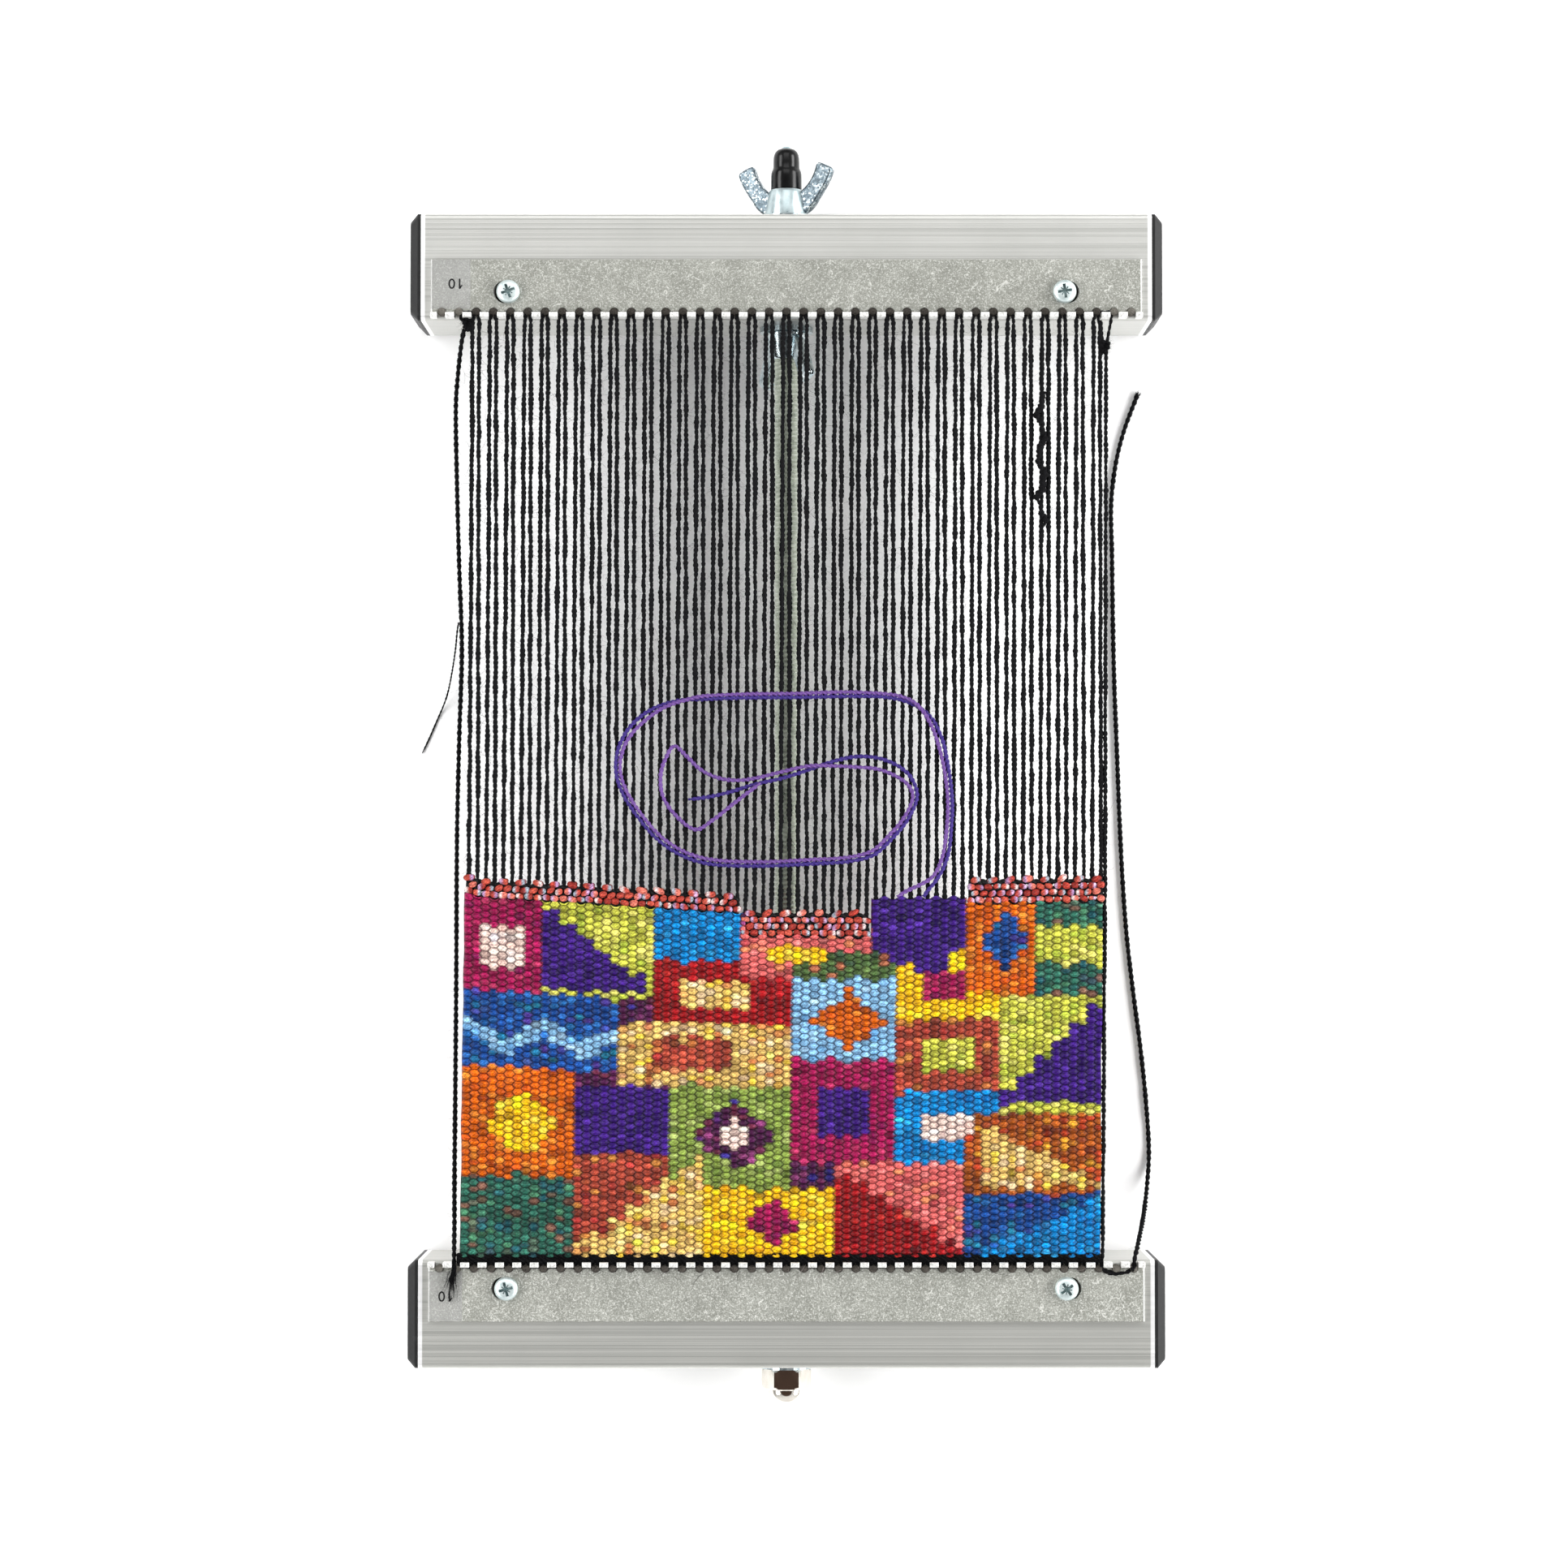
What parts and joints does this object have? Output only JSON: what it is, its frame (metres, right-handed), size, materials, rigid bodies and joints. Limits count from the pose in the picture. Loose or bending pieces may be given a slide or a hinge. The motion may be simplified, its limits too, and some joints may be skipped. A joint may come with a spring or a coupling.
{
  "type": "tapestry loom",
  "caption": "Pocket tapestry loom with aluminium bars, notched combs, a threaded rod with wing nuts, black warp and a half-woven cloth.",
  "frame": {"origin": "middle of the base of the loom's box as it lies on its back, in the plane of both bars' backs", "axes": "+X along the bars to the loom's right, +Y along the rod from the lower bar to the upper bar, +Z out of the front, towards the weaver"},
  "size_m": [0.2224, 0.3752, 0.0366],
  "materials": {
    "bar_aluminium": "extruded, fine lengthwise lines",
    "comb_aluminium": "tumbled matte with small scratches",
    "black_plastic": "satin moulded",
    "zinc_steel": "bright zinc plate",
    "bright_nickel": "polished nickel",
    "black_vinyl": "glossy dipped vinyl",
    "black_yarn": "woolly two-ply yarn",
    "woven_yarn": "weft-faced wool cloth in many colours",
    "purple_yarn": "smooth two-ply yarn",
    "lilac_yarn": "smooth two-ply yarn"
  },
  "bodies": {
    "base": {"lower_bar": "bar_aluminium", "lower_comb": "comb_aluminium", "lower_left_end_cap": "black_plastic", "lower_right_end_cap": "black_plastic", "lower_left_screw": "zinc_steel", "lower_right_screw": "zinc_steel", "threaded_rod": "zinc_steel", "lower_inner_washer": "zinc_steel", "lower_outer_washer": "zinc_steel", "lower_jam_nut": "zinc_steel", "cap_nut": "bright_nickel", "warp_thread": "black_yarn", "weaving": "woven_yarn", "header_rows": "black_yarn", "edge_strand": "black_yarn", "warp_tail_right": "black_yarn", "weft_tail_dark": "purple_yarn", "weft_tail_light": "lilac_yarn"},
    "upper_assembly": {"upper_bar": "bar_aluminium", "upper_comb": "comb_aluminium", "upper_left_end_cap": "black_plastic", "upper_right_end_cap": "black_plastic", "upper_left_screw": "zinc_steel", "upper_right_screw": "zinc_steel", "upper_outer_washer": "zinc_steel", "upper_inner_washer": "zinc_steel", "start_knot": "black_yarn", "end_knot": "black_yarn", "warp_tail_left": "black_yarn", "warp_ply_left": "black_yarn"},
    "tension_nut": {"tension_wing_nut": "zinc_steel"},
    "lock_nut": {"lock_wing_nut": "zinc_steel"},
    "tip_cap": {"rod_cap": "black_vinyl"}
  },
  "joints": [
    {"name": "bar_slide", "type": "slide", "parent": "base", "child": "upper_assembly", "axis": [0, 1, 0], "range_m": [-0.00282, 0], "deforming": ["warp_thread", "edge_strand"]},
    {"name": "tension_nut_spin", "type": "hinge", "parent": "upper_assembly", "child": "tension_nut", "pos_m": [0, 0.125, 0.01588], "axis": [0, 1, 0], "range_deg": [-720, 0]},
    {"name": "lock_nut_spin", "type": "hinge", "parent": "upper_assembly", "child": "lock_nut", "pos_m": [0, 0.17, 0.01588], "axis": [0, 1, 0], "range_deg": [-720, 0]},
    {"name": "rod_cap_pull", "type": "slide", "parent": "base", "child": "tip_cap", "axis": [0, 1, 0], "range_m": [0, 0.015]}
  ],
  "couplings": [
    {"joint": "tension_nut_spin", "follows": "bar_slide", "rad_per_m": 4452.6},
    {"joint": "lock_nut_spin", "follows": "bar_slide", "rad_per_m": 4452.6}
  ]
}
